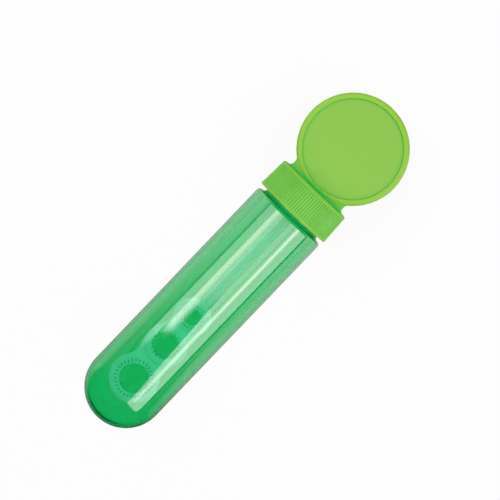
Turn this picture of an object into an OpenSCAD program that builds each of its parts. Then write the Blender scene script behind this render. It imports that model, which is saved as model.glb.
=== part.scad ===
// Bubble wand: a clear tube, a screw cap with a paddle handle, and a dipping wand with three rings.
// The object lies on its side, as it rests on a table. X runs along the tube from its round end to
// the paddle, Z is up, and the origin is on the table under the middle of the object's length.
// The cap is drawn backed off from its seat by one closing turn.

/* [Tube] */
// Outer diameter of the barrel
tube_d = 27.4; // [26.4:0.1:30]
// Length from the tip of the round end to the shoulder
tube_length = 91.5; // [84:0.5:120]
// Wall of the barrel and of the round end
tube_wall = 1.3; // [1:0.1:1.8]
// Wall of the shoulder between the barrel and the neck
shoulder_wall = 1.4; // [1:0.1:2]
// Rounding of the shoulder's outer edge
shoulder_round = 1.2; // [0.6:0.1:1.6]
// Diameter of the mould gate's dimple in the round end
gate_d = 2.8; // [2:0.1:4]
// Depth of the mould gate's dimple
gate_depth = 0.5; // [0.3:0.05:0.7]
// Diameter of the gate's stub inside the dimple
gate_stub_d = 1.2; // [0.8:0.1:1.6]

/* [Neck and thread] */
// Outer diameter of the neck
neck_d = 22.5; // [21.6:0.1:23]
// Wall of the neck
neck_wall = 1.5; // [1.2:0.05:1.8]
// Height of the neck above the shoulder
neck_height = 7.2; // [7:0.1:9]
// How many thread ridges there are around the neck, with one lug in the cap for each
thread_starts = 3; // [2:1:3]
// Advance of the cap for one whole turn
thread_lead = 5.28; // [3.6:0.12:6]
// Turn from backed off to tight, in degrees
closing_turn = 75; // [60:1:80]
// How far a ridge stands out of the neck
ridge_height = 1.05; // [0.8:0.05:1.2]
// Thickness of a ridge at its foot
ridge_thick = 1.2; // [0.9:0.05:1.4]
// Turn that one ridge covers, in degrees
ridge_turn = 85; // [80:1:86]
// Turn that one lug covers, in degrees
lug_turn = 24; // [16:1:26]
// Thickness of a lug at its foot
lug_thick = 1.2; // [0.9:0.05:1.4]
// Height of the lugs above the shoulder with the cap backed off
lug_rise = 3.9; // [3.6:0.1:4.2]

/* [Screw cap] */
// Wall of the cap's skirt behind the ribs, at its top
skirt_wall = 0.85; // [0.7:0.05:1.6]
// How much wider the skirt's radius is at its foot than at its top
skirt_draft = 0.4; // [0.1:0.05:0.6]
// Thickness of the cap's top
cap_top_thick = 1.4; // [1.2:0.1:2]
// How many grip ribs there are around the skirt
rib_count = 90; // [60:2:100]
// How far a grip rib stands out of the skirt
rib_depth = 0.3; // [0.2:0.05:0.45]
// Height of the plain flange at the skirt's lower edge
flange_height = 0.75; // [0.6:0.05:1.4]
// How far the flange stands out past the ribs
flange_lip = 0.05; // [0.03:0.01:0.5]
// Rounding of the cap's top edge
cap_round = 0.75; // [0.5:0.05:1]
// Height of the smooth band between the ribs and the rounding
edge_band = 0.1; // [0.06:0.02:0.5]
// How far the smooth top edge stands out past the ribs
edge_lip = 0.05; // [0.03:0.01:0.12]
// Wall of the socket under the cap's top that takes the wand's post
socket_wall = 1.4; // [1:0.1:2]

/* [Paddle] */
// Diameter of the paddle's disc
paddle_d = 37.1; // [32:0.1:44]
// Thickness of the disc's rim
paddle_thick = 3.2; // [2.6:0.1:4]
// Width of the raised rim
rim_width = 1.95; // [1.6:0.05:3]
// Rounding of the rim's edges
rim_round = 0.9; // [0.5:0.05:1.2]
// Depth of the flat panel below the rim, on each face
panel_recess = 0.45; // [0.2:0.05:0.7]
// How deep the disc's edge runs into the cap's top
paddle_bite = 0.6; // [0.4:0.05:1]
// Width of the web between the cap and the disc
web_width = 22; // [16:0.5:23]
// How far the web's faces lie below the rim's
web_drop = 0.1; // [0.05:0.05:0.5]
// Fillet between the web and the cap's top
web_foot_round = 1.5; // [0.4:0.1:1.6]
// Fillet between the web and the disc
web_disc_round = 1.6; // [0.6:0.1:2]

/* [Wand] */
// Thickness of the wand's plate between the rings
plate_thick = 1.8; // [1.4:0.1:2.2]
// How far a ring's bead stands out of the plate, on each face
bead_rise = 0.4; // [0.2:0.05:0.6]
// Outer diameter of the large ring
large_ring_d = 16.8; // [15.4:0.1:17.2]
// Hole in the large ring
large_hole_d = 10.2; // [9:0.1:10.6]
// Diameter of the large ring's bead
large_bead_d = 15.5; // [14:0.1:15.8]
// Outer diameter of the middle ring
middle_ring_d = 14.7; // [13.8:0.1:15.4]
// Hole in the middle ring, across the roots of its teeth
middle_hole_d = 9.96; // [9:0.02:10.4]
// Height of a tooth in the middle ring's hole
tooth_height = 0.8; // [0.4:0.05:1]
// How many teeth the middle ring's hole has
tooth_count = 20; // [14:1:26]
// Diameter of the middle ring's bead
middle_bead_d = 13.3; // [12.6:0.1:13.8]
// Outer diameter of the small ring
small_ring_d = 12.6; // [11.6:0.1:13.4]
// Hole in the small ring
small_hole_d = 5.76; // [5.6:0.02:6]
// Diameter of the small ring's bead
small_bead_d = 10.2; // [9.6:0.1:11]
// Distance between the large and the middle ring
large_pitch = 15.02; // [14.4:0.02:16]
// Distance between the middle and the small ring
small_pitch = 12.88; // [12.4:0.02:13.6]
// Width of the waist between the large and the middle ring
large_waist = 11.8; // [9:0.1:12.4]
// Width of the waist between the middle and the small ring
small_waist = 10.1; // [7:0.1:10.6]
// Width of the stick
stick_w = 3.8; // [3:0.1:4.6]
// Distance from the wand's end to the inside of the tube's round end
end_gap = 7.8; // [3:0.1:12]

/* [Wand slots] */
// How many slots the large ring has
large_slot_count = 30; // [20:1:34]
// Length of a slot in the large ring
large_slot_length = 1; // [0.6:0.05:1.2]
// Distance from the large ring's hole to its slots
large_slot_inset = 0.42; // [0.3:0.02:0.6]
// How many slots the small ring has
small_slot_count = 20; // [12:1:22]
// Length of a slot in the small ring
small_slot_length = 0.5; // [0.3:0.05:0.8]
// Distance from the small ring's hole to its slots
small_slot_inset = 0.5; // [0.4:0.02:0.7]
// Width of a slot
slot_width = 0.45; // [0.3:0.05:0.55]

/* [Wand head] */
// Thickness of the flange that sits on the neck's rim
seat_thick = 1.2; // [0.9:0.1:1.8]
// How far the flange reaches out over the neck's wall
seat_reach = 1.25; // [0.9:0.05:1.4]
// Depth of the plug in the neck
plug_depth = 5; // [4:0.1:5.2]
// Wall of the plug
plug_wall = 1.4; // [1:0.1:2]
// Floor of the plug
plug_floor = 1.2; // [0.9:0.1:1.6]
// Diameter of the post that the cap turns on
post_d = 4; // [3:0.1:5]

/* [Cap liner] */
// Thickness of the sealing washer
liner_thick = 1; // [0.6:0.1:1.6]

/* [Clearances] */
// Gap between flat faces that seat on each other
seat_gap = 0.05; // [0.02:0.01:0.1]
// Gap between the skirt and the shoulder with the cap tight
skirt_gap = 0.3; // [0.2:0.05:0.5]
// Gap between the thread's ridges and the skirt, and between its lugs and the neck
thread_gap = 0.25; // [0.15:0.05:0.35]
// Gap between the flanks of a lug and a ridge
flank_gap = 0.15; // [0.1:0.05:0.25]
// Gap around the plug in the neck
plug_gap = 0.15; // [0.1:0.05:0.25]
// Gap around the post in its socket
post_gap = 0.05; // [0.03:0.01:0.1]
// Gap around the liner, inside and outside
liner_gap = 0.2; // [0.1:0.05:0.4]
// Gap at the ends of the post and the socket with the cap tight
post_end_gap = 0.25; // [0.15:0.05:0.5]

/* [Hidden] */
$fn = 96;
full_turn = 4 * acos(0);
// Overrun of every cut, and overlap of every joined feature
over = 0.4;

// Radii
tube_r = tube_d / 2;
bore_r = tube_r - tube_wall;
neck_r = neck_d / 2;
neck_bore_r = neck_r - neck_wall;
ridge_r = neck_r + ridge_height;
cap_bore_r = ridge_r + thread_gap;
lug_r = neck_r + thread_gap;
skirt_r = cap_bore_r + skirt_wall;
rib_r = skirt_r + rib_depth;
edge_r = rib_r + edge_lip;
flange_r = rib_r + skirt_draft + flange_lip;
paddle_r = paddle_d / 2;
panel_r = paddle_r - rim_width;
plug_r = neck_bore_r - plug_gap;
well_r = plug_r - plug_wall;
seat_r = neck_bore_r + seat_reach;
post_r = post_d / 2;
socket_r = post_r + post_gap;
boss_r = socket_r + socket_wall;
large_r = large_ring_d / 2;
middle_r = middle_ring_d / 2;
small_r = small_ring_d / 2;
axis_height = max(flange_r, tube_r);

// Places along the axis, measured from the tip of the round end
cap_drop = thread_lead * closing_turn / full_turn;
neck_top = tube_length + neck_height;
seat_z = neck_top + seat_gap;
seat_top = seat_z + seat_thick;
cap_inside = seat_top + seat_gap + liner_thick + seat_gap + cap_drop;
liner_z = cap_inside - seat_gap - liner_thick;
cap_top = cap_inside + cap_top_thick;
skirt_z = tube_length + skirt_gap + cap_drop;
rib_z = skirt_z + flange_height;
rib_top = cap_top - cap_round - edge_band;
plug_z = neck_top - plug_depth;
well_z = plug_z + plug_floor;
post_top = cap_inside - cap_drop - post_end_gap;
socket_z = well_z + post_end_gap + cap_drop;
lug_z = tube_length + lug_rise;
ridge_offset = (ridge_thick + lug_thick) / 2 + flank_gap;
paddle_x = cap_top + paddle_r - paddle_bite;
overall_length = paddle_x + paddle_r;
wand_end = tube_wall + end_gap;
large_x = wand_end + large_r;
middle_x = large_x + large_pitch;
small_x = middle_x + small_pitch;

// The ridges end this far, in degrees, before the middle of a backed-off lug
ridge_end = (full_turn / thread_starts - ridge_turn) / 2;
// A ridge and a lug thin out towards their edges to this share of their thickness
crest_share = 0.55;
// Rings of points along a ridge and along a lug
ridge_step_count = 14;
lug_step_count = 5;
// A rib's flanks start at these shares of its pitch, and run to these at the flange's radius
rib_foot_shares = [0.04, 0.96];
rib_crest_shares = [0.4, 0.6];
// Lengthwise beads on each face of the stick
stick_beads = 3;
// Width and height of a bead, as shares of the stick's pitch of beads and of the ring's bead
bead_width_share = 0.5;
bead_height_share = 0.6;
// Root of the neck
neck_root_round = shoulder_round;
// Rounding inside the shoulder
inner_round = max(shoulder_round - tube_wall / 2, tube_wall / 2);
// Height of the gate's stub inside its dimple, as a share of the dimple's depth
gate_stub_share = 0.7;

module tube_green() { color([0.10, 0.70, 0.42, 0.6]) children(); }
module cap_lime() { color([0.50, 0.76, 0.27]) children(); }
module wand_white() { color([0.90, 0.94, 0.90]) children(); }
module liner_white() { color([0.95, 0.95, 0.93]) children(); }

// Lays a shape that was drawn upright along the tube's axis
module lay() { translate([-overall_length / 2, 0, axis_height]) rotate([0, 90, 0]) children(); }

// Puts a shape that was drawn flat, with X along the axis, at the height of the axis
module flat() { translate([-overall_length / 2, 0, axis_height]) children(); }

// A quarter disc that rounds an outer edge
module quarter(r) {
    intersection() {
        circle(r);
        square(r);
    }
}

// A ring of the given radius and height, with its upper edge rounded
module rounded_drum(r, h, edge) {
    rotate_extrude() {
        square([r - edge, h]);
        square([r, h - edge]);
        translate([r - edge, h - edge]) quarter(edge);
    }
}

// The corners of a ridge's section, given as radius and thickness, at one turn about the axis
function ring_points(section, turn, z) = [
    for (p = section)
        [p[0] * cos(turn), p[0] * sin(turn), z + thread_lead * turn / full_turn + p[1] / 2]
];

// One helical ridge, swept from one turn to another about the axis
module thread_ridge(from, turn, z, r_in, r_out, t_in, t_out, steps) {
    section = [[r_in, -t_in], [r_out, -t_out], [r_out, t_out], [r_in, t_in]];
    corners = len(section);
    points = [
        for (i = [0:steps])
            each ring_points(section, from + turn * i / steps, z)
    ];
    last = corners * steps;
    sides = [
        for (i = [0:steps - 1], j = [0:corners - 1])
            let (a = corners * i + j, b = corners * i + (j + 1) % corners)
                each [[a, a + corners, b], [b, a + corners, b + corners]]
    ];
    ends = [
        for (j = [1:corners - 2])
            each [[0, j, j + 1], [last, last + j + 1, last + j]]
    ];
    polyhedron(points, concat(sides, ends));
}

// Tube
module barrel_outside() {
    translate([0, 0, tube_r]) sphere(tube_r);
    translate([0, 0, tube_r]) rounded_drum(tube_r, tube_length - tube_r, shoulder_round);
    translate([0, 0, tube_length - over]) cylinder(h = neck_height + over, r = neck_r);
    translate([0, 0, tube_length]) rotate_extrude() translate([neck_r, 0]) difference() {
        translate([-over, -over]) square(neck_root_round + over);
        translate([neck_root_round, neck_root_round]) circle(neck_root_round);
    }
}

module barrel_inside() {
    translate([0, 0, tube_r]) sphere(bore_r);
    translate([0, 0, tube_r]) rounded_drum(bore_r, tube_length - shoulder_wall - tube_r, inner_round);
    translate([0, 0, tube_r]) cylinder(h = neck_top + over - tube_r, r = neck_bore_r);
}

module gate_dimple() {
    difference() {
        translate([0, 0, -over]) cylinder(h = gate_depth + over, r = gate_d / 2);
        translate([0, 0, gate_depth * (1 - gate_stub_share)]) cylinder(h = gate_depth, r = gate_stub_d / 2);
    }
}

module neck_thread() {
    for (i = [0:thread_starts - 1])
        rotate(full_turn * i / thread_starts)
            thread_ridge(-ridge_end - ridge_turn, ridge_turn, lug_z + ridge_offset, neck_r - over,
                ridge_r, ridge_thick, ridge_thick * crest_share, ridge_step_count);
}

module tube() {
    tube_green() lay() {
        difference() {
            union() {
                barrel_outside();
                neck_thread();
            }
            barrel_inside();
            gate_dimple();
        }
    }
}

// Screw cap
function polar(r, turn) = [r * cos(turn), r * sin(turn)];

module rib_outline() {
    pitch = full_turn / rib_count;
    root_r = skirt_r - rib_depth / 2;
    profile = [
        [root_r, rib_foot_shares[0]], [flange_r, rib_crest_shares[0]],
        [flange_r, rib_crest_shares[1]], [root_r, rib_foot_shares[1]]
    ];
    polygon([for (i = [0:rib_count - 1]) for (p = profile) polar(p[0], pitch * (i + p[1]))]);
}

// A cone that narrows by the draft from the flange to the top edge
module skirt_cone(r) {
    translate([0, 0, rib_z - over])
        cylinder(h = over + rib_top - rib_z + edge_band / 2, r1 = r + skirt_draft, r2 = r);
}

module skirt() {
    difference() {
        union() {
            translate([0, 0, skirt_z]) cylinder(h = flange_height, r = flange_r);
            skirt_cone(skirt_r);
            intersection() {
                skirt_cone(rib_r);
                translate([0, 0, skirt_z]) linear_extrude(cap_top - skirt_z) rib_outline();
            }
            translate([0, 0, rib_top]) rounded_drum(edge_r, edge_band + cap_round, cap_round);
        }
        translate([0, 0, skirt_z - over]) cylinder(h = cap_inside - skirt_z + over, r = cap_bore_r);
    }
}

module cap_lugs() {
    for (i = [0:thread_starts - 1])
        rotate(full_turn * i / thread_starts)
            thread_ridge(-lug_turn / 2, lug_turn, lug_z, lug_r, cap_bore_r + over,
                lug_thick * crest_share, lug_thick, lug_step_count);
}

module post_socket() {
    difference() {
        translate([0, 0, socket_z]) cylinder(h = cap_inside - socket_z + over, r = boss_r);
        translate([0, 0, socket_z - over]) cylinder(h = cap_inside - socket_z + over, r = socket_r);
    }
}

module paddle_disc() {
    half = paddle_thick / 2;
    translate([paddle_x, 0, 0]) difference() {
        union() {
            rounded_drum(paddle_r, half, rim_round);
            mirror([0, 0, 1]) rounded_drum(paddle_r, half, rim_round);
        }
        for (side = [0, 1])
            mirror([0, 0, side]) translate([0, 0, half - panel_recess])
                cylinder(h = panel_recess + over, r = panel_r);
    }
}

module web_outline() {
    half = web_width / 2;
    disc_reach = paddle_r + web_disc_round;
    fillet_y = half + web_disc_round;
    fillet_x = paddle_x - sqrt(disc_reach * disc_reach - fillet_y * fillet_y);
    touch_share = paddle_r / disc_reach;
    touch = [paddle_x + (fillet_x - paddle_x) * touch_share, fillet_y * touch_share];
    foot = cap_top - over;
    difference() {
        polygon([
            [foot, half], [fillet_x, half], touch, [paddle_x, 0],
            [touch[0], -touch[1]], [fillet_x, -half], [foot, -half]
        ]);
        for (side = [-1, 1]) translate([fillet_x, side * fillet_y]) circle(web_disc_round);
    }
    for (side = [0, 1])
        mirror([0, side]) translate([cap_top, half]) difference() {
            translate([-over, -over]) square(web_foot_round + over);
            translate([web_foot_round, web_foot_round]) circle(web_foot_round);
        }
}

module paddle_web() {
    difference() {
        linear_extrude(paddle_thick - 2 * web_drop, center = true) web_outline();
        translate([paddle_x, 0, -paddle_thick]) cylinder(h = 2 * paddle_thick, r = panel_r + rim_width / 2);
    }
}

module screw_cap() {
    cap_lime() {
        lay() {
            skirt();
            cap_lugs();
            post_socket();
        }
        flat() {
            paddle_disc();
            paddle_web();
        }
    }
}

// Cap liner
module cap_liner() {
    liner_white() lay() translate([0, 0, liner_z]) difference() {
        cylinder(h = liner_thick, r = cap_bore_r - liner_gap);
        translate([0, 0, -over]) cylinder(h = liner_thick + 2 * over, r = boss_r + liner_gap);
    }
}

// Wand
// Two rings of radius r1 and r2 stand a distance apart, and an arc draws in the waist between them.
// waist_x is how far from the first ring's centre the arc's centre lies, and waist_r is its radius.
function waist_x(r1, r2, apart, half) =
    let (k = (r2 - half) / (r1 - half),
         c = apart * apart - (r2 * r2 - half * half) + k * (r1 * r1 - half * half))
        c / (apart + sqrt(apart * apart - (1 - k) * c));
function waist_r(r1, x, half) = (x * x - r1 * r1 + half * half) / (2 * (r1 - half));

module waist(r1, r2, apart, half) {
    x = waist_x(r1, r2, apart, half);
    r = waist_r(r1, x, half);
    y = half + r;
    first_share = r1 / (r1 + r);
    second_share = r2 / (r2 + r);
    first = [x, y] * first_share;
    second = [apart + (x - apart) * second_share, y * second_share];
    difference() {
        polygon([
            [0, 0], first, second, [apart, 0], [second[0], -second[1]], [first[0], -first[1]]
        ]);
        for (side = [-1, 1]) translate([x, side * y]) circle(r);
    }
}

module plate_outline() {
    translate([large_x, 0]) {
        circle(large_r);
        waist(large_r, middle_r, large_pitch, large_waist / 2);
    }
    translate([middle_x, 0]) {
        circle(middle_r);
        waist(middle_r, small_r, small_pitch, small_waist / 2);
    }
    translate([small_x, 0]) circle(small_r);
    translate([small_x, -stick_w / 2]) square([plug_z + over - small_x, stick_w]);
}

module ring_slots(count, hole_d, inset, slot_length) {
    for (i = [0:count - 1])
        rotate(full_turn * i / count)
            translate([hole_d / 2 + inset, -slot_width / 2]) square([slot_length, slot_width]);
}

module toothed_hole() {
    root_r = middle_hole_d / 2;
    tooth_pitch = full_turn / tooth_count;
    polygon([
        for (i = [0:tooth_count - 1])
            each [polar(root_r, tooth_pitch * i), polar(root_r - tooth_height, tooth_pitch * (i + 1 / 2))]
    ]);
}

module ring_cuts() {
    translate([large_x, 0]) {
        circle(large_hole_d / 2);
        ring_slots(large_slot_count, large_hole_d, large_slot_inset, large_slot_length);
    }
    translate([middle_x, 0]) toothed_hole();
    translate([small_x, 0]) {
        circle(small_hole_d / 2);
        ring_slots(small_slot_count, small_hole_d, small_slot_inset, small_slot_length);
    }
}

module stick_bead_lines() {
    bead_pitch = stick_w / stick_beads;
    bead_w = bead_pitch * bead_width_share;
    bead_from = small_x + small_r;
    for (i = [0:stick_beads - 1])
        translate([bead_from, bead_pitch * (i + 1 / 2) - stick_w / 2 - bead_w / 2])
            square([plug_z + over - bead_from, bead_w]);
}

module wand_plate() {
    bead_thick = plate_thick + 2 * bead_rise;
    stick_thick = plate_thick + 2 * bead_rise * bead_height_share;
    difference() {
        union() {
            linear_extrude(plate_thick, center = true) plate_outline();
            linear_extrude(stick_thick, center = true) stick_bead_lines();
            linear_extrude(bead_thick, center = true) {
                translate([large_x, 0]) circle(large_bead_d / 2);
                translate([middle_x, 0]) circle(middle_bead_d / 2);
                translate([small_x, 0]) circle(small_bead_d / 2);
            }
        }
        linear_extrude(bead_thick + over, center = true) ring_cuts();
    }
}

module wand_head() {
    difference() {
        union() {
            translate([0, 0, seat_z]) cylinder(h = seat_thick, r = seat_r);
            translate([0, 0, plug_z]) cylinder(h = seat_z - plug_z + over, r = plug_r);
        }
        translate([0, 0, well_z]) cylinder(h = seat_top - well_z + over, r = well_r);
    }
    translate([0, 0, well_z - over]) cylinder(h = post_top - well_z + over, r = post_r);
}

module wand() {
    wand_white() {
        lay() wand_head();
        flat() wand_plate();
    }
}

tube();
wand();
cap_liner();
screw_cap();
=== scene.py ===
"""Looks for the bubble wand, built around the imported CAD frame.

Sizes are in millimetres, as in the part's source. Places are given as (along, across, up): along the
tube from the tip of its round end, across it, and up from its axis. place() turns them into metres.
Sizes of the floor and the lamps are in metres.
"""

from collections import namedtuple
from math import atan2, ceil, cos, pi, radians, sin, sqrt, tan

import bmesh
import bpy
from mathutils import Matrix, Vector


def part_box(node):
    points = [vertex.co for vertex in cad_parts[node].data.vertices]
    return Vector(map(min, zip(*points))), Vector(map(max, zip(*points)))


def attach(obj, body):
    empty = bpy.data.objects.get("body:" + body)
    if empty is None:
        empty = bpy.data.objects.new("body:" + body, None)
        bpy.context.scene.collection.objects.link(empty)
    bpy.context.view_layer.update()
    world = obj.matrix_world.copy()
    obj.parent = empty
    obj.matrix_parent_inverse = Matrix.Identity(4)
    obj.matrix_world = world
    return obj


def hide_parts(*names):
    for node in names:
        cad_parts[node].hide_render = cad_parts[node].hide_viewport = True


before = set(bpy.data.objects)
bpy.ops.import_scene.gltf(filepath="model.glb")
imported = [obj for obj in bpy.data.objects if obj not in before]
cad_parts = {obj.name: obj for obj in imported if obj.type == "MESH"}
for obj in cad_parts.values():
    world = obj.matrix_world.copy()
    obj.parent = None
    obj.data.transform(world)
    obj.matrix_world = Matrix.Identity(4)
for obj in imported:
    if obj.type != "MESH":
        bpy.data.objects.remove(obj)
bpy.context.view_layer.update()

MM = 0.001
FULL_TURN = 2 * pi
FULL_DEGREES = 360
tube_low, tube_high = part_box("tube")
AXIS = (tube_low.z + tube_high.z) / 2

# Tube
tube_r = 13.7
tube_wall = 1.3
tube_length = 91.5
shoulder_wall = 1.4
shoulder_round = 1.2
shoulder_inner_round = 0.65
thick_at = 90
gate_r = 1.4
gate_depth = 0.5
gate_stub_r = 0.6
gate_stub_top = 0.15
gate_round = 0.1
neck_r = 11.25
neck_bore_r = 9.75
neck_top = 98.7
neck_root_round = 1.2
neck_rim_round = 0.4
dome_steps = 48
barrel_steps = 36
tube_segments = 256

# Thread: ridges on the neck and lugs in the cap, with turns in degrees
thread_starts = 3
thread_lead = 5.28
ridge_r = 12.3
ridge_at = 96.75
ridge_from = -102.5
ridge_to = -17.5
ridge_half = 0.6
lug_r = 11.5
lug_at = 95.4
lug_turn = 24
lug_half = 0.6
thread_root = 0.3
sweep_steps = 36
taper_share = 0.12
tip_share = 0.08
# Corners of a ridge up to its crest: share of its depth, share of its half width off the crest's edge
crest_share = 0.55
crest_corner_shares = ((0.7, -0.12), (0.94, 0), (1, 0.14))

# Screw cap
skirt_at = 92.9
flange_r = 14.15
flange_top = 93.65
flange_round = 0.22
rib_count = 90
rib_segments = 10
skirt_foot_r = 13.78
skirt_top_r = 13.42
rib_depth = 0.3
rib_fade = 0.5
rib_top = 102.7
edge_r = 13.75
cap_round = 0.75
cap_top = 103.55
cap_inside = 102.15
cap_bore_r = 12.55
cap_inner_round = 0.3
boss_r = 3.45
boss_at = 96.25
socket_r = 2.05
small_round = 0.15

# Paddle
paddle_at = 121.5
paddle_r = 18.55
paddle_half = 1.6
rim_width = 1.95
rim_round = 0.9
rim_inner_round = 0.22
panel_half = 1.15
panel_round = 0.2
web_half_width = 11
web_half = 1.5
web_edge = 0.35
web_foot_round = 1.5
web_disc_round = 1.6
web_sink = 0.9
paddle_segments = 256

# Wand plate, rings and the slots around their holes
Ring = namedtuple("Ring", "at radius hole_r bead_r")
Slots = namedtuple("Slots", "count start length")
plate_half = 0.9
bead_half = 1.3
plate_edge = 0.22
bead_edge = 0.16
large_ring = Ring(at=17.5, radius=8.4, hole_r=5.1, bead_r=7.75)
middle_ring = Ring(at=32.52, radius=7.35, hole_r=4.98, bead_r=6.65)
small_ring = Ring(at=45.4, radius=6.3, hole_r=2.88, bead_r=5.1)
large_waist = 5.9
small_waist = 5.05
tooth_height = 0.8
tooth_count = 20
slot_width = 0.45
large_slots = Slots(count=30, start=5.52, length=1.0)
small_slots = Slots(count=20, start=3.38, length=0.5)
ring_segments = 160
least_steps = 2
waist_steps = 24
stick_half_width = 1.9
stick_beads = 3
stick_bead_width = 0.63
stick_bead_half = 1.14
stick_bead_edge = 0.2

# Wand head
plug_at = 93.7
plug_r = 9.6
plug_round = 0.4
well_at = 94.9
well_r = 8.2
seat_at = 98.75
seat_r = 11
seat_top = 99.95
post_r = 2
post_top = 100.8
head_round = 0.2
head_segments = 128

# Rounding and shading, with the turn of a sharp edge in degrees
arc_steps = 6
bevel_steps = 2
sharp_turn = 35
weld_gap = 0.002
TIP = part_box("screw_cap")[1].x - (paddle_at + paddle_r) * MM


def place(along, across, up):
    """A place in the row frame, in metres."""
    return Vector((TIP + along * MM, across * MM, AXIS + up * MM))


def about_tube(along, radius, turn):
    """A place at a radius and a turn about the tube's axis. Turn 0 points to +Y."""
    return place(along, radius * cos(turn), radius * sin(turn))


def about_paddle(up, radius, turn):
    """A place at a radius and a turn about the middle of the paddle."""
    return place(paddle_at + radius * cos(turn), radius * sin(turn), up)


def rounded_path(corners):
    """A path through corners (height, radius, rounding), with an arc at each that has a rounding."""
    path = []
    for i, (height, radius, rounding) in enumerate(corners):
        here = Vector((height, radius))
        if not rounding:
            path.append(here)
            continue
        before = (Vector(corners[i - 1][:2]) - here).normalized()
        after = (Vector(corners[i + 1][:2]) - here).normalized()
        half = before.angle(after) / 2
        centre = here + (before + after).normalized() * rounding / sin(half)
        start = here + before * rounding / tan(half) - centre
        end = here + after * rounding / tan(half) - centre
        for k in range(arc_steps + 1):
            path.append(centre + start.lerp(end, k / arc_steps).normalized() * rounding)
    return path


def even(start, end, steps):
    """Values in even steps from start to end."""
    return [start + (end - start) * k / steps for k in range(steps + 1)]


def arc(centre, radius, start, end, steps):
    """Points (height, radius) on an arc about a centre on the axis. Turn 0 points back along it."""
    return [Vector((centre - radius * cos(t), radius * sin(t))) for t in even(start, end, steps)]


def around(along, across, radius, turns):
    """Points of an outline at a radius about a place, one for each turn."""
    return [(along + radius * cos(t), across + radius * sin(t)) for t in turns]


def new_object(name, data):
    """An object in the scene."""
    made = bpy.data.objects.new(name, data)
    bpy.context.scene.collection.objects.link(made)
    return made


def set_axes(made, spot, axes):
    """Puts an object at a spot, with its own axes along three directions."""
    made.matrix_world = Matrix.Translation(spot) @ Matrix(axes).transposed().to_4x4()


def mesh_piece(name, mesh, weld=0):
    """A piece from a mesh, with points welded that are closer than a gap and faces turned outwards."""
    work = bmesh.new()
    work.from_mesh(mesh)
    if weld:
        bmesh.ops.remove_doubles(work, verts=work.verts, dist=weld)
    bmesh.ops.recalc_face_normals(work, faces=work.faces)
    work.to_mesh(mesh)
    work.free()
    return new_object(name, mesh)


def new_piece(name, verts, faces):
    """A piece from its points and faces."""
    mesh = bpy.data.meshes.new(name)
    mesh.from_pydata(verts, [], faces)
    return mesh_piece(name, mesh)


def revolve(name, path, segments, spot, swell=None):
    """Turns a path that starts and ends on an axis about it.

    swell, a function of height, radius and segment, adds to the radius.
    """
    verts, faces, rings = [], [], []
    for height, radius in path:
        count = segments if radius > 0 else 1
        rings.append(range(len(verts), len(verts) + count))
        for k in range(count):
            turn = FULL_TURN * k / segments
            extra = swell(height, radius, k) if swell else 0
            verts.append(spot(height, radius + extra, turn))
    for low, high in zip(rings, rings[1:]):
        for k in range(segments):
            n = (k + 1) % segments
            corners = [low[k % len(low)], low[n % len(low)], high[n % len(high)], high[k % len(high)]]
            faces.append(tuple(dict.fromkeys(corners)))
    return new_piece(name, verts, faces)


def thread_piece(name, start, end, at, r_foot, r_crest, half):
    """One helical ridge between two turns in degrees, tapered at both ends."""
    depth = r_crest - r_foot
    section = [(0, -1)] + [(deep, off - crest_share) for deep, off in crest_corner_shares]
    section += [(r, -z) for r, z in reversed(section)]
    verts, faces = [], []
    for i in range(sweep_steps + 1):
        share = i / sweep_steps
        fade = min(1, share / taper_share, (1 - share) / taper_share)
        fade = tip_share + (1 - tip_share) * sin(fade * pi / 2)
        degrees = start + (end - start) * share
        rise = thread_lead * degrees / FULL_DEGREES
        for r, z in section:
            reach = r_foot + depth * r * (fade if r else 1)
            verts.append(about_tube(at + rise + z * half, reach, -radians(degrees)))
    n = len(section)
    for i in range(sweep_steps):
        for j in range(n):
            k = (j + 1) % n
            faces.append((i * n + j, (i + 1) * n + j, (i + 1) * n + k, i * n + k))
    faces.append(tuple(range(n)))
    faces.append(tuple(range(sweep_steps * n, (sweep_steps + 1) * n)))
    return new_piece(name, verts, faces)


def threads(name, start, end, at, r_foot, r_crest, half):
    """The ridges or lugs of every start, turned evenly about the axis."""
    pieces = []
    for i in range(thread_starts):
        piece = thread_piece(name + str(i), start, end, at, r_foot, r_crest, half)
        centre = place(0, 0, 0)
        spin = Matrix.Rotation(FULL_TURN * i / thread_starts, 4, "X")
        piece.data.transform(Matrix.Translation(centre) @ spin @ Matrix.Translation(-centre))
        pieces.append(piece)
    return pieces


def slab(name, outlines, half, edge):
    """A flat solid from closed outlines of (along, across); an outline inside another is a hole."""
    curve = bpy.data.curves.new(name, "CURVE")
    curve.dimensions = "2D"
    curve.fill_mode = "BOTH"
    curve.extrude = half - edge
    curve.bevel_depth = edge
    curve.bevel_resolution = bevel_steps
    curve.offset = -edge
    for outline in outlines:
        spline = curve.splines.new("POLY")
        spline.points.add(len(outline) - 1)
        spline.use_cyclic_u = True
        for point, (along, across) in zip(spline.points, outline):
            point.co = (along, across, 0, 1)
    holder = new_object(name, curve)
    depsgraph = bpy.context.evaluated_depsgraph_get()
    mesh = bpy.data.meshes.new_from_object(holder.evaluated_get(depsgraph))
    bpy.data.objects.remove(holder)
    piece = mesh_piece(name, mesh, weld_gap)
    mesh.transform(Matrix.Translation(place(0, 0, 0)) @ Matrix.Diagonal((MM, MM, MM, 1)))
    return piece


def unite(base, others):
    """Joins solids that overlap into one closed skin."""
    for other in others:
        change = base.modifiers.new("join", "BOOLEAN")
        change.operation = "UNION"
        change.solver = "EXACT"
        change.object = other
    depsgraph = bpy.context.evaluated_depsgraph_get()
    mesh = bpy.data.meshes.new_from_object(base.evaluated_get(depsgraph))
    base.modifiers.clear()
    base.data = mesh
    for other in others:
        bpy.data.objects.remove(other)
    return base


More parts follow.
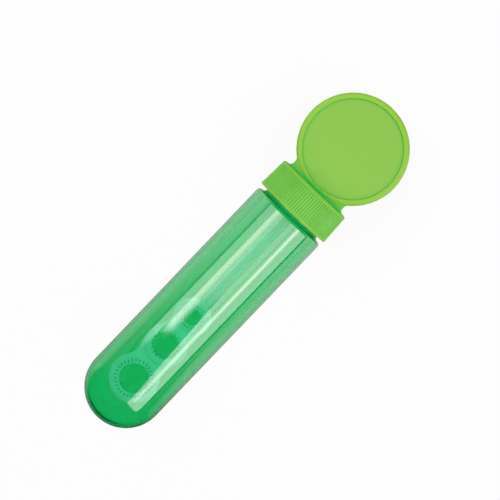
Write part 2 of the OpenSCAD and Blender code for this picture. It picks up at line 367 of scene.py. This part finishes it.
def dress(piece, body, node, slot, *materials):
    """Finishes a piece: its materials, smooth shading, the body it rides on and the node it replaces."""
    for material in materials:
        piece.data.materials.append(material)
    piece.data.shade_smooth()
    piece.data.set_sharp_from_angle(angle=radians(sharp_turn))
    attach(piece, body)
    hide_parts(node)


def add_node(tree, kind, inputs, **settings):
    """Adds a shader node, and fills each named input with a value or a link."""
    made = tree.nodes.new(kind)
    for key, value in settings.items():
        setattr(made, key, value)
    for key, value in inputs.items():
        if isinstance(value, bpy.types.NodeSocket):
            tree.links.new(value, made.inputs[key])
        else:
            made.inputs[key].default_value = value
    return made


def mix_shaders(tree, share, first, second):
    """Two shaders mixed, with a share of the second."""
    made = add_node(tree, "ShaderNodeMixShader", {"Fac": share, 1: first, 2: second})
    return made.outputs["Shader"]


def new_material(name):
    """An empty node material, its output node and its object coordinates."""
    material = bpy.data.materials.new(name)
    material.use_nodes = True
    tree = material.node_tree
    tree.nodes.clear()
    output = add_node(tree, "ShaderNodeOutputMaterial", {})
    coords = add_node(tree, "ShaderNodeTexCoord", {}).outputs["Object"]
    return material, tree, output, coords


def noise(tree, coords, scale, detail, stretch=(1, 1, 1)):
    """Noise in the object's own space, with its features stretched along each axis."""
    scaled = add_node(tree, "ShaderNodeMapping", {"Vector": coords, "Scale": stretch}).outputs["Vector"]
    made = add_node(tree, "ShaderNodeTexNoise", {"Vector": scaled, "Scale": scale, "Detail": detail})
    return made.outputs["Fac"]


def remap(tree, value, start, end, low, high, **settings):
    """Turns a value between start and end into one between low and high."""
    made = add_node(tree, "ShaderNodeMapRange", {
        "Value": value, "From Min": start, "From Max": end, "To Min": low, "To Max": high,
    }, **settings)
    return made.outputs["Result"]


def fade_in(tree, value, start, end):
    """A smooth step from 0 to 1 between two values."""
    return remap(tree, value, start, end, 0, 1, interpolation_type="SMOOTHSTEP")


def calculate(tree, operation, *values):
    """The result of an operation on one or two values."""
    return add_node(tree, "ShaderNodeMath", dict(enumerate(values)), operation=operation).outputs["Value"]


def emission(tree, level):
    """White light of a level."""
    return add_node(tree, "ShaderNodeEmission", {"Color": white, "Strength": level}).outputs["Emission"]


def background(tree, level):
    """A white background of a level."""
    return add_node(tree, "ShaderNodeBackground", {"Color": white, "Strength": level}).outputs["Background"]


def spread(tree, value, low, high):
    """Turns a noise value into one between low and high."""
    return remap(tree, value, noise_low, noise_high, low, high)


def ramp(tree, value, stops):
    """Colours between stops of (position, colour)."""
    made = add_node(tree, "ShaderNodeValToRGB", {"Fac": value})
    points = made.color_ramp.elements
    while len(points) < len(stops):
        points.new(1)
    for point, (position, colour) in zip(points, stops):
        point.position = position
        point.color = (*colour, 1)
    return made.outputs["Color"]


def grey_ramp(tree, value, stops):
    """Grey levels between stops of (position, level)."""
    return ramp(tree, value, [(position, (level, level, level)) for position, level in stops])


def bump(tree, height, strength, distance):
    """A bump normal from a height between 0 and 1."""
    made = add_node(tree, "ShaderNodeBump", {
        "Height": height, "Strength": strength, "Distance": distance * MM,
    })
    return made.outputs["Normal"]


# Colours of the plastics and the foam
tube_tint = (0.005, 0.55, 0.132, 1)
inside_tint = (1, 1, 1, 1)
lamp_tint = (0.92, 0.985, 0.93, 1)
thick_tint = (0.004, 0.58, 0.13, 1)
# One lime plastic in lit and shaded copies: the web's darker lime is painted shade, the rim's lighter lime
# a painted highlight, the panel's paler lime a painted sheen
skirt_lime = (0.205, 0.57, 0.018)
web_lime_painted_shade = (0.15, 0.55, 0.022)
rim_lime_painted_highlight = (0.28, 0.585, 0.022)
panel_lime_painted_sheen = (0.25, 0.56, 0.042)
# Deeper greens, painted shade where the cap is shut in
painted_shade_deep_green = (0.001, 0.59, 0.075)
painted_shade_mid_green = (0.07, 0.565, 0.035)
milk_stops = [(0.3, (0.78, 0.84, 0.79)), (0.7, (0.86, 0.9, 0.86))]
foam_stops = [(0.3, (0.8, 0.8, 0.77)), (0.7, (0.88, 0.88, 0.85))]

# Range of most noise values
noise_low = 0.3
noise_high = 0.7

# Noises: scale, detail and, where they run lengthwise, the scale along each axis
streak_noise = (900, 2, (0.002, 1, 1))
ripple_noise = (120, 2)
grain_noise = (3200, 3)
mottle_noise = (1700, 4)
milk_noise = (260, 3)
flow_noise = (1500, 2, (0.1, 1, 1))
foam_noise = (300, 2)
cell_scale = 2600

# Bumps: strength and height
streak_bump = (0.015, 0.05)
grain_bump = (0.3, 0.06)
flow_bump = (0.2, 0.05)
cell_bump = (0.5, 0.1)

# Roughness: lowest and highest
tube_roughness = (0.002, 0.012)
cap_roughness = (0.36, 0.5)
wand_roughness = (0.34, 0.46)
foam_roughness = (0.75, 0.9)

# Clearness and gloss
tube_ior = 1.5
coat_ior = 1.8
coat_roughness = 0.03
thick_clear_share = 0.3
plastic_ior = 1.49
milk_share = 0.4
milk_radius = (1, 1, 0.9)
milk_depth = 1.2

# Cap: mottle, the reach in which walls paint it a deeper green as shade, and the open shares of its three
# greens
even_mottle = 0.02
panel_mottle = 0.06
painted_shade_edge_reach = 1.6
# The flat top reaches far, so its whole end face is painted a deeper green as shade
painted_shade_top_reach = 40
shut_samples = 8
deep_share = 0.54
mid_share = 0.8
lime_share = 0.99

# Skins of the tube, in the order of its materials
clear_skin = 0
thick_skin = 1
inside_skin = 2

# Skins of the cap, in the order of its materials
skirt_skin = 0
rim_skin = 1
panel_skin = 2
top_skin = 3
web_skin = 4


def tube_material(name, tint, clear, coat):
    """Clear green polished plastic with faint lengthwise flow lines. Lamps shine straight through it."""
    material, tree, output, coords = new_material(name)
    streaks = noise(tree, coords, *streak_noise)
    ripple = noise(tree, coords, *ripple_noise)
    glass = add_node(tree, "ShaderNodeBsdfPrincipled", {
        "Base Color": tint,
        "Transmission Weight": clear,
        "IOR": tube_ior,
        "Coat Weight": coat,
        "Coat IOR": coat_ior,
        "Coat Roughness": coat_roughness,
        "Roughness": spread(tree, ripple, *tube_roughness),
        "Normal": bump(tree, streaks, *streak_bump),
    })
    through = add_node(tree, "ShaderNodeBsdfTransparent", {"Color": lamp_tint}).outputs["BSDF"]
    path = add_node(tree, "ShaderNodeLightPath", {})
    shaded = glass.outputs["BSDF"]
    for ray in ("Is Shadow Ray", "Is Diffuse Ray"):
        shaded = mix_shaders(tree, path.outputs[ray], shaded, through)
    tree.links.new(shaded, output.inputs["Surface"])
    return material


def cap_material(name, lime, mottle, reach):
    """Lime moulded plastic with a fine satin grain, mottled a little, with painted shade: a deeper green
    where walls shut it in.
    """
    material, tree, output, coords = new_material(name)
    grain = noise(tree, coords, *grain_noise)
    cloud = noise(tree, coords, *mottle_noise)
    # Painted shade: the less open a spot is, the deeper its green
    shut = add_node(tree, "ShaderNodeAmbientOcclusion", {
        "Distance": reach * MM,
    }, only_local=True, samples=shut_samples)
    open_share = calculate(tree, "ADD", shut.outputs["AO"], spread(tree, cloud, -mottle, mottle))
    colour = ramp(tree, open_share, [
        (deep_share, painted_shade_deep_green),
        (mid_share, painted_shade_mid_green),
        (lime_share, lime),
    ])
    plastic = add_node(tree, "ShaderNodeBsdfPrincipled", {
        "Base Color": colour,
        "Roughness": spread(tree, cloud, *cap_roughness),
        "IOR": plastic_ior,
        "Normal": bump(tree, grain, *grain_bump),
    })
    tree.links.new(plastic.outputs["BSDF"], output.inputs["Surface"])
    return material


def wand_material():
    """Natural milky plastic, a little see-through."""
    material, tree, output, coords = new_material("wand_milky")
    cloud = noise(tree, coords, *milk_noise)
    flow = noise(tree, coords, *flow_noise)
    plastic = add_node(tree, "ShaderNodeBsdfPrincipled", {
        "Base Color": ramp(tree, cloud, milk_stops),
        "Roughness": spread(tree, cloud, *wand_roughness),
        "IOR": plastic_ior,
        "Subsurface Weight": milk_share,
        "Subsurface Radius": milk_radius,
        "Subsurface Scale": milk_depth * MM,
        "Normal": bump(tree, flow, *flow_bump),
    })
    tree.links.new(plastic.outputs["BSDF"], output.inputs["Surface"])
    return material


def foam_material():
    """White closed-cell foam."""
    material, tree, output, coords = new_material("liner_white_foam")
    cells = add_node(tree, "ShaderNodeTexVoronoi", {"Vector": coords, "Scale": cell_scale})
    cloud = noise(tree, coords, *foam_noise)
    foam = add_node(tree, "ShaderNodeBsdfPrincipled", {
        "Base Color": ramp(tree, cloud, foam_stops),
        "Roughness": spread(tree, cloud, *foam_roughness),
        "Normal": bump(tree, cells.outputs["Distance"], *cell_bump),
    })
    tree.links.new(foam.outputs["BSDF"], output.inputs["Surface"])
    return material


# Tube: its inside, and the edge of the mould gate on the round end
tube_inner_r = tube_r - tube_wall
under_at = tube_length - shoulder_wall
barrel_end = under_at - shoulder_inner_round - weld_gap
barrel_heights = even(tube_r, barrel_end, barrel_steps)[1:]
gate_edge_r = gate_r + gate_round
gate_edge_at = tube_r - sqrt(tube_r * tube_r - gate_edge_r * gate_edge_r)


def gate_path():
    """The mould gate in the tip: a stub in a round dip."""
    return rounded_path([
        (gate_stub_top, 0, 0),
        (gate_stub_top, gate_stub_r, gate_round),
        (gate_depth, gate_stub_r, gate_round),
        (gate_depth, gate_r, gate_round),
        (gate_edge_at, gate_r, gate_round / 2),
        (gate_edge_at, gate_edge_r, 0),
    ])


def outer_sections():
    """The tube's outside from its tip to the neck's rim, as sections of (skin, points)."""
    gate_turn = atan2(gate_edge_r, tube_r - gate_edge_at)
    barrel = arc(tube_r, tube_r, gate_turn, pi / 2, dome_steps)[1:]
    barrel += [Vector((height, tube_r)) for height in barrel_heights]
    shoulder = rounded_path([
        (thick_at, tube_r, 0),
        (tube_length, tube_r, shoulder_round),
        (tube_length, neck_r, neck_root_round),
        (tube_length + neck_root_round + weld_gap, neck_r, 0),
    ])
    neck = rounded_path([
        (tube_length + neck_root_round + 2 * weld_gap, neck_r, 0),
        (neck_top, neck_r, neck_rim_round),
        (neck_top, neck_bore_r + neck_rim_round + weld_gap, 0),
    ])
    return [(thick_skin, gate_path()), (clear_skin, barrel), (thick_skin, shoulder), (clear_skin, neck)]


def inner_sections():
    """The tube's inside from the neck's rim to its tip, as sections of (skin, points)."""
    bore = rounded_path([
        (neck_top, neck_bore_r + neck_rim_round + weld_gap / 2, 0),
        (neck_top, neck_bore_r, neck_rim_round),
        (tube_length - weld_gap, neck_bore_r, 0),
    ])
    under_r = tube_inner_r - shoulder_inner_round - weld_gap
    under = rounded_path([
        (tube_length - 2 * weld_gap, neck_bore_r, 0),
        (under_at, neck_bore_r, neck_rim_round),
        (under_at, under_r - weld_gap, 0),
    ])
    barrel = rounded_path([
        (under_at, under_r, 0),
        (under_at, tube_inner_r, shoulder_inner_round),
        (barrel_end + weld_gap / 2, tube_inner_r, 0),
    ])
    barrel += [Vector((height, tube_inner_r)) for height in reversed(barrel_heights)]
    barrel += arc(tube_r, tube_inner_r, pi / 2, 0, dome_steps)[:-1]
    barrel.append(Vector((tube_wall, 0)))
    return [(inside_skin, bore), (thick_skin, under), (inside_skin, barrel)]


def make_tube():
    """The tube's shell in its three skins, with the thread's ridges."""
    sections = outer_sections() + inner_sections()
    path = [point for _, points in sections for point in points]
    skins = [skin for skin, points in sections for _ in points]
    shell = revolve("tube_shell", path, tube_segments, about_tube)
    materials = [
        tube_material("tube_clear_green", tube_tint, clear=1, coat=1),
        tube_material("tube_thick_green", thick_tint, clear=thick_clear_share, coat=1),
        tube_material("tube_clear_inside", inside_tint, clear=1, coat=0),
    ]
    for material in materials:
        shell.data.materials.append(material)
    # Each row of faces takes the skin of the ring of points that it ends on
    for face in shell.data.polygons:
        face.material_index = skins[face.index // tube_segments + 1]
    ridges = threads("ridge", ridge_from, ridge_to, ridge_at, neck_r - thread_root, ridge_r, ridge_half)
    dress(unite(shell, ridges), "tube_body", "tube", "tube_plastic")


# Screw cap
def rib_swell(height, radius, k):
    """How far a rib stands out at a height and at one of its segments."""
    if radius < skirt_top_r - weld_gap or not flange_top + weld_gap < height < rib_top - weld_gap:
        return 0
    wave = (1 + cos(FULL_TURN * k / rib_segments)) / 2
    return rib_depth * sqrt(wave)


def cap_path():
    """The cap's skin from the middle of its top, down the skirt, up its inside and round the socket."""
    top = rounded_path([(cap_top, 0, 0), (cap_top, edge_r, cap_round), (rib_top, edge_r, 0)])
    ribs = [Vector((rib_top - rib_fade, skirt_top_r)), Vector((flange_top + rib_fade, skirt_foot_r))]
    under = rounded_path([
        (flange_top, flange_r, 0),
        (skirt_at, flange_r, flange_round),
        (skirt_at, cap_bore_r, flange_round),
        (cap_inside, cap_bore_r, cap_inner_round),
        (cap_inside, boss_r, cap_inner_round),
        (boss_at, boss_r, small_round),
        (boss_at, socket_r, small_round),
        (cap_inside, socket_r, small_round),
        (cap_inside, 0, 0),
    ])
    return top + ribs + under


def web_outline():
    """The web between the cap and the disc, with fillets at its foot and at the disc on both sides."""
    foot_x = cap_top + web_foot_round
    foot_y = web_half_width + web_foot_round
    side = [(cap_top - web_sink, foot_y)]
    side += around(foot_x, foot_y, web_foot_round, even(pi, pi + pi / 2, arc_steps))
    reach = paddle_r + web_disc_round
    fillet_y = web_half_width + web_disc_round
    fillet_x = paddle_at - sqrt(reach * reach - fillet_y * fillet_y)
    fillet_end = atan2(-fillet_y, paddle_at - fillet_x)
    side += around(fillet_x, fillet_y, web_disc_round, even(-pi / 2, fillet_end, arc_steps))
    inner_r = paddle_r - rim_width / 2
    inner_start = pi - atan2(side[-1][1], paddle_at - side[-1][0])
    side += around(paddle_at, 0, inner_r, even(inner_start, pi, arc_steps)[:-1])
    return side + [(along, -across) for along, across in reversed(side)]


def paddle_path():
    """The disc's skin from the middle of one panel, over the rim, to the middle of the other."""
    panel_r = paddle_r - rim_width
    face = [
        (panel_half, 0, 0),
        (panel_half, panel_r, panel_round),
        (paddle_half, panel_r, rim_inner_round),
        (paddle_half, paddle_r, rim_round),
    ]
    return rounded_path(face + [(-up, radius, rounding) for up, radius, rounding in reversed(face)])


def make_cap():
    """The cap with its ribs, lugs, web and disc, in five skins of one lime: lit and shaded copies, with
    painted highlight, sheen and shade.
    """
    skirt_segments = rib_count * rib_segments
    skirt = revolve("screw_cap_body", cap_path(), skirt_segments, about_tube, rib_swell)
    lugs = threads("lug", -lug_turn / 2, lug_turn / 2, lug_at, cap_bore_r + thread_root, lug_r, lug_half)
    disc = revolve("disc", paddle_path(), paddle_segments, about_paddle)
    web = slab("web", [web_outline()], web_half, web_edge)
    # Lit and shaded copies of one lime: the rim painted lighter, the panel paler, the web darker, and the
    # top in deep painted shade
    skins = [
        cap_material("cap_skirt_lime", skirt_lime, even_mottle, painted_shade_edge_reach),
        cap_material("cap_rim_lime", rim_lime_painted_highlight, even_mottle, painted_shade_edge_reach),
        cap_material("cap_panel_lime", panel_lime_painted_sheen, panel_mottle, painted_shade_edge_reach),
        cap_material("cap_top_lime", skirt_lime, even_mottle, painted_shade_top_reach),
        cap_material("cap_web_lime", web_lime_painted_shade, even_mottle, painted_shade_edge_reach),
    ]
    for piece in (skirt, disc, web):
        for skin in skins:
            piece.data.materials.append(skin)
    # The skirt's first row of faces is the flat top, and the disc's first and last row are its panels
    for face in skirt.data.polygons:
        face.material_index = top_skin if face.index < skirt_segments else skirt_skin
    for face in disc.data.polygons:
        on_panel = min(face.index, len(disc.data.polygons) - 1 - face.index) < paddle_segments
        face.material_index = panel_skin if on_panel else rim_skin
    for face in web.data.polygons:
        face.material_index = web_skin
    dress(unite(skirt, lugs + [disc, web]), "cap_body", "screw_cap", "cap_plastic")


# Wand
def circle(at, radius):
    """The outline of a circle about a place on the axis."""
    return around(at, 0, radius, even(0, FULL_TURN, ring_segments)[:-1])


def ring_slots(ring, slots):
    """The outlines of the slots that stand around a ring's hole."""
    outlines = []
    for i in range(slots.count):
        turn = FULL_TURN * i / slots.count
        out = Vector((cos(turn), sin(turn)))
        side = Vector((-sin(turn), cos(turn))) * slot_width / 2
        near = out * slots.start
        far = out * (slots.start + slots.length)
        corners = [near - side, far - side, far + side, near + side]
        outlines.append([(ring.at + corner.x, corner.y) for corner in corners])
    return outlines


def toothed_hole(ring):
    """The outline of a ring's hole with teeth that point to its middle."""
    outline = []
    for i in range(2 * tooth_count):
        turn = FULL_TURN * i / (2 * tooth_count)
        radius = ring.hole_r - tooth_height * (i % 2)
        outline.append((ring.at + radius * cos(turn), radius * sin(turn)))
    return outline


def waist_arc(first, second, half):
    """The upper edge of the waist between two rings: an arc that touches both and leaves half its width.

    Each ring gives the arc's radius from the place of its middle, and the place is where both agree.
    """
    apart = second.at - first.at
    ratio = (second.radius - half) / (first.radius - half)
    first_rise = first.radius * first.radius - half * half
    second_rise = second.radius * second.radius - half * half
    constant = apart * apart - second_rise + ratio * first_rise
    along = constant / (apart + sqrt(apart * apart - (1 - ratio) * constant))
    radius = (along * along - first_rise) / (2 * (first.radius - half))
    across = half + radius
    start = atan2(-across, -along)
    end = atan2(-across, apart - along)
    return around(first.at + along, across, radius, even(start, end, waist_steps))


def ring_edge(ring, before, after):
    """The upper edge of a ring between two points on its outline."""
    start = atan2(before[1], before[0] - ring.at)
    end = atan2(after[1], after[0] - ring.at)
    steps = max(least_steps, ceil(abs(start - end) / FULL_TURN * ring_segments))
    return around(ring.at, 0, ring.radius, even(start, end, steps)[1:-1])


def plate_outline():
    """The plate around the rings and along the stick, as one closed outline."""
    first = waist_arc(large_ring, middle_ring, large_waist)
    second = waist_arc(middle_ring, small_ring, small_waist)
    stick_reach = sqrt(small_ring.radius * small_ring.radius - stick_half_width * stick_half_width)
    stick_start = (small_ring.at + stick_reach, stick_half_width)
    end = (large_ring.at - large_ring.radius, 0)
    upper = [end] + ring_edge(large_ring, end, first[0]) + first
    upper += ring_edge(middle_ring, first[-1], second[0]) + second
    upper += ring_edge(small_ring, second[-1], stick_start)
    upper += [stick_start, (plug_at + head_round, stick_half_width)]
    return upper + [(along, -across) for along, across in reversed(upper[1:])]


def inside_bead(ring, cut_r):
    """A hole in the plate that lies between a ring's cuts and the edge of its bead."""
    return circle(ring.at, (cut_r + ring.bead_r) / 2)


def ring_bead(name, ring, cuts):
    """The raised bead of a ring, with its hole and slots cut through."""
    return slab(name, [circle(ring.at, ring.bead_r)] + cuts, bead_half, bead_edge)


def head_path():
    """The wand's head: a plug with a well, a flange on the neck's rim and a post for the cap."""
    return rounded_path([
        (plug_at, 0, 0),
        (plug_at, plug_r, plug_round),
        (seat_at, plug_r, head_round / 2),
        (seat_at, seat_r, head_round),
        (seat_top, seat_r, head_round),
        (seat_top, well_r, head_round),
        (well_at, well_r, plug_round),
        (well_at, post_r, plug_round),
        (post_top, post_r, head_round),
        (post_top, 0, 0),
    ])


def make_wand():
    """The wand: a plate with rings and a stick, their beads, and the head."""
    plate = slab("wand_piece", [
        plate_outline(),
        inside_bead(large_ring, large_slots.start + large_slots.length),
        inside_bead(middle_ring, middle_ring.hole_r),
        inside_bead(small_ring, small_slots.start + small_slots.length),
    ], plate_half, plate_edge)
    large_hole = circle(large_ring.at, large_ring.hole_r)
    small_hole = circle(small_ring.at, small_ring.hole_r)
    beads = [
        ring_bead("large_bead", large_ring, [large_hole] + ring_slots(large_ring, large_slots)),
        ring_bead("middle_bead", middle_ring, [toothed_hole(middle_ring)]),
        ring_bead("small_bead", small_ring, [small_hole] + ring_slots(small_ring, small_slots)),
    ]
    start = small_ring.at + small_ring.radius
    pitch = 2 * stick_half_width / stick_beads
    for i in range(stick_beads):
        middle = pitch * (i + 1 / 2) - stick_half_width
        low = middle - stick_bead_width / 2
        high = middle + stick_bead_width / 2
        outline = [(start, low), (plug_at + head_round, low), (plug_at + head_round, high), (start, high)]
        beads.append(slab("stick_bead", [outline], stick_bead_half, stick_bead_edge))
    head = revolve("wand_head", head_path(), head_segments, about_tube)
    piece = unite(plate, beads + [head])
    dress(piece, "wand_body", "wand", "wand_plastic", wand_material())


def make_liner():
    """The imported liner, given its foam."""
    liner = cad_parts["cap_liner"]
    liner.data.materials.clear()
    liner.data.materials.append(foam_material())


# Floor, in metres, and the share of its lit look in what shows through the tube
floor_half = 2.0
floor_colour = (0.92, 0.92, 0.92, 1)
white = (1, 1, 1, 1)
glass_share = 0.6

# How much of the object's shadow the floor shows, and where that ends
shadow_share = 0.08
shadow_near = 0.3
shadow_far = 0.8

# The floor in reflections, a painted reflection: glow levels along the tube on its left and right, and a
# painted shadow beside it
shine_start = -0.088
shine_end = 0.04
shine_middle = 0.01
shine_left_stops = [(0, 0.03), (0.09, 0.38), (0.345, 0.66), (1, 1)]
shine_right_stops = [(0, 0.03), (0.156, 0.03), (0.345, 0.6), (1, 1)]
shine_near = 0.015
shine_far = 0.05
shine_painted_shadow = 0.45

# A dark strip beside the round end, a painted shadow that shows only through the tube
strip_far = -0.098
strip_edge = -0.078
strip_stops = [(0, 1), (0.35, 0), (0.65, 0), (1, 1)]
strip_near = 0.012
strip_side = 0.024
painted_shadow_strip_level = 0.15


def floor_shine(tree, spot, aside):
    """The floor in reflections, a painted reflection graded along the tube and apart on its left and right,
    with a painted shadow beside it.
    """
    along = remap(tree, spot.outputs["X"], shine_start, shine_end, 0, 1)
    on_left = grey_ramp(tree, along, shine_left_stops)
    on_right = grey_ramp(tree, along, shine_right_stops)
    level = remap(tree, spot.outputs["Y"], -shine_middle, shine_middle, on_right, on_left)
    # Painted shadow: the glow is darker beside the tube
    shade = remap(tree, aside, shine_near, shine_far, shine_painted_shadow, 1)
    return emission(tree, calculate(tree, "MULTIPLY", level, shade))


def floor_behind(tree, spot, aside, glow, lit):
    """The floor as it shows through the tube, with the dark strip of painted shadow."""
    plain = mix_shaders(tree, glass_share, glow, lit)
    off_strip = grey_ramp(tree, remap(tree, spot.outputs["X"], strip_far, strip_edge, 0, 1), strip_stops)
    # Painted shadow: a dark strip beside the round end, seen only through the tube
    striped = mix_shaders(tree, off_strip, emission(tree, painted_shadow_strip_level), plain)
    return mix_shaders(tree, remap(tree, aside, strip_near, strip_side, 0, 1), striped, plain)


def floor_material():
    """White with a share of the object's shadow; in reflections and glass it glows with painted reflection
    and painted shadow.
    """
    material, tree, output, coords = new_material("floor_white")
    lit = add_node(tree, "ShaderNodeBsdfDiffuse", {"Color": floor_colour}).outputs["BSDF"]
    glow = emission(tree, 1)
    spot = add_node(tree, "ShaderNodeSeparateXYZ", {"Vector": coords})
    aside = calculate(tree, "ABSOLUTE", spot.outputs["Y"])
    away = add_node(tree, "ShaderNodeVectorMath", {0: coords}, operation="LENGTH").outputs["Value"]
    plain_share = remap(tree, away, shadow_near, shadow_far, 1 - shadow_share, 1)
    path = add_node(tree, "ShaderNodeLightPath", {})
    camera = calculate(tree, "MULTIPLY", path.outputs["Is Camera Ray"], plain_share)
    shine = floor_shine(tree, spot, aside)
    behind = floor_behind(tree, spot, aside, glow, lit)
    shown = mix_shaders(tree, path.outputs["Is Glossy Ray"], lit, shine)
    shown = mix_shaders(tree, path.outputs["Is Transmission Ray"], shown, behind)
    shown = mix_shaders(tree, camera, shown, glow)
    tree.links.new(shown, output.inputs["Surface"])
    return material


def make_floor():
    """A wide floor under the object."""
    corners = [(-floor_half, -floor_half, 0), (floor_half, -floor_half, 0)]
    corners += [(floor_half, floor_half, 0), (-floor_half, floor_half, 0)]
    floor = new_piece("floor", corners, [(0, 1, 2, 3)])
    floor.data.materials.append(floor_material())


# World: its level for light, and for each kind of ray that sees another
dim_level = 0.15
ray_levels = {"Is Glossy Ray": 0.03, "Is Transmission Ray": 0.9, "Is Camera Ray": 1}


def make_world():
    """White behind the object for the camera and through glass, dim for other light, dark for shine."""
    world = bpy.data.worlds.new("studio")
    world.use_nodes = True
    tree = world.node_tree
    tree.nodes.clear()
    output = add_node(tree, "ShaderNodeOutputWorld", {})
    path = add_node(tree, "ShaderNodeLightPath", {})
    shown = background(tree, dim_level)
    for ray, level in ray_levels.items():
        shown = mix_shaders(tree, path.outputs[ray], shown, background(tree, level))
    tree.links.new(shown, output.inputs["Surface"])
    bpy.context.scene.world = world


# Watts for a square metre of lamp at a radiance of 1
lamp_factor = 3.1

# Lamps, in metres: their sides and distance, where they start and end along the tube, and their colours
left_side = 1
right_side = -1
box_distance = 0.6
key_span = (-0.36, 0.7)
fill_span = (-0.15, 0.5)
edge_span = (-0.15, 0.25)
shine_reach = 0.25
plain_light = (1, 1, 1)
soft_pink = (1, 0.92, 0.98)
hot_pink = (1, 0.75, 0.82)


def lamp_level(tree, side, fade, slant, edge_shares):
    """The level of light over a lamp, with its fade, slant and edges as shares of its length and width."""
    spot = add_node(tree, "ShaderNodeNewGeometry", {}).outputs["Parametric"]
    split = add_node(tree, "ShaderNodeSeparateXYZ", {"Vector": spot})
    ends = (1, 0) if side > 0 else (0, 1)
    late = calculate(tree, "MULTIPLY", remap(tree, split.outputs["Y"], 0, 1, *ends), slant)
    level = fade_in(tree, calculate(tree, "SUBTRACT", split.outputs["X"], late), 0, fade)
    first, last = edge_shares if side > 0 else edge_shares[::-1]
    level = calculate(tree, "MULTIPLY", level, fade_in(tree, split.outputs["Y"], 0, first))
    return calculate(tree, "MULTIPLY", level, fade_in(tree, split.outputs["Y"], 1, 1 - last))


def softbox(name, side, angles, span, radiance, fade, edge_shares, colour=plain_light, slant=0,
            lights=False):
    """A lamp along the object, between two angles off the vertical on one side, facing the tube's axis.

    Its light fades in over a length from its start, and over shares of its width at the low and high edge.
    A slant is the length by which it starts later at its low edge than at its high one. A lamp either
    lights the object or shines on its gloss.
    """
    low, high = angles
    start, end = span
    middle = radians((low + high) / 2)
    half = radians((high - low) / 2)
    lamp = bpy.data.lights.new(name, "AREA")
    lamp.shape = "RECTANGLE"
    lamp.size = end - start
    lamp.size_y = 2 * box_distance * tan(half)
    lamp.energy = radiance * lamp_factor * lamp.size * lamp.size_y
    lamp.color = colour
    lamp.use_nodes = True
    tree = lamp.node_tree
    tree.nodes.clear()
    level = lamp_level(tree, side, fade / lamp.size, slant / lamp.size, edge_shares)
    add_node(tree, "ShaderNodeOutputLight", {"Surface": emission(tree, level)})
    out = Vector((0, side * sin(middle), cos(middle)))
    along = Vector((1, 0, 0))
    spot = Vector(((start + end) / 2, 0, AXIS)) + out * box_distance
    holder = new_object(name, lamp)
    set_axes(holder, spot, (along, out.cross(along), out))
    holder.visible_camera = False
    holder.visible_transmission = False
    holder.visible_diffuse = lights
    holder.visible_glossy = not lights


def make_lamps():
    """Lamps that light the object, then lamps for the bands of shine on the tube."""
    softbox("key_left", left_side, angles=(11, 72), span=key_span, radiance=1.65, fade=0.06,
            edge_shares=(0.06, 0.06), lights=True)
    softbox("key_right", right_side, angles=(19, 80), span=key_span, radiance=1.6, fade=0.02,
            edge_shares=(0.02, 0.02), lights=True)
    softbox("fill_left", left_side, angles=(61, 95), span=fill_span, radiance=0.35, fade=0.2,
            edge_shares=(0.1, 0.1), lights=True)
    softbox("fill_right", right_side, angles=(74, 95), span=fill_span, radiance=0.35, fade=0.2,
            edge_shares=(0.1, 0.1), lights=True)
    softbox("edge_left", left_side, angles=(58, 95), span=edge_span, radiance=1.35, fade=0.2,
            edge_shares=(0.45, 0.1))
    softbox("edge_right", right_side, angles=(80, 96), span=edge_span, radiance=1.4, fade=0.2,
            edge_shares=(0.4, 0.1))
    softbox("box_left", left_side, angles=(40, 61), span=(-0.102, shine_reach), radiance=1.7, fade=0.02,
            edge_shares=(0.02, 0.1), colour=soft_pink)
    softbox("box_left_inner", left_side, angles=(4, 40), span=(-0.086, shine_reach), radiance=1.7,
            fade=0.01, edge_shares=(0.5, 0.02), colour=soft_pink)
    softbox("box_right", right_side, angles=(33, 77), span=(-0.37, shine_reach), radiance=2.15, fade=0.06,
            edge_shares=(0.04, 0.04), colour=soft_pink)
    softbox("box_right_inner", right_side, angles=(16, 33), span=(-0.118, shine_reach), radiance=2.3,
            fade=0.01, edge_shares=(0.1, 0.02), colour=soft_pink, slant=0.065)
    softbox("hot_left", left_side, angles=(11, 41), span=(-0.086, shine_reach), radiance=2.6, fade=0.01,
            edge_shares=(0.7, 0.3), colour=hot_pink)
    softbox("hot_right", right_side, angles=(38, 54), span=(-0.2, shine_reach), radiance=3.5, fade=0.16,
            edge_shares=(0.45, 0.55), colour=hot_pink)
    softbox("top", left_side, angles=(-17, 20), span=(-0.066, shine_reach), radiance=1.2, fade=0.014,
            edge_shares=(0.02, 0.25), colour=hot_pink)


# Camera: lean in degrees, distance and reach in metres, its right as a direction, the rest in millimetres
camera_lean = 3
camera_distance = 1.2
camera_reach = 10
frame_width = 163.85
target = (74.33, 1.57, 0)
image_right = Vector((0.692, -0.722, 0))
sensor = 36


def make_camera():
    """A long lens almost straight above, leaning to the paddle's end."""
    lens = bpy.data.cameras.new("camera")
    lens.sensor_width = sensor
    lens.lens = sensor * camera_distance / (frame_width * MM)
    lens.clip_end = camera_reach
    back = Vector((sin(radians(camera_lean)), 0, cos(radians(camera_lean))))
    right = (image_right - back * image_right.dot(back)).normalized()
    holder = new_object("camera", lens)
    set_axes(holder, place(*target) + back * camera_distance, (right, back.cross(right), back))
    bpy.context.scene.camera = holder


bpy.context.scene.view_settings.view_transform = "Standard"
make_tube()
make_cap()
make_wand()
make_liner()
make_floor()
make_world()
make_lamps()
make_camera()
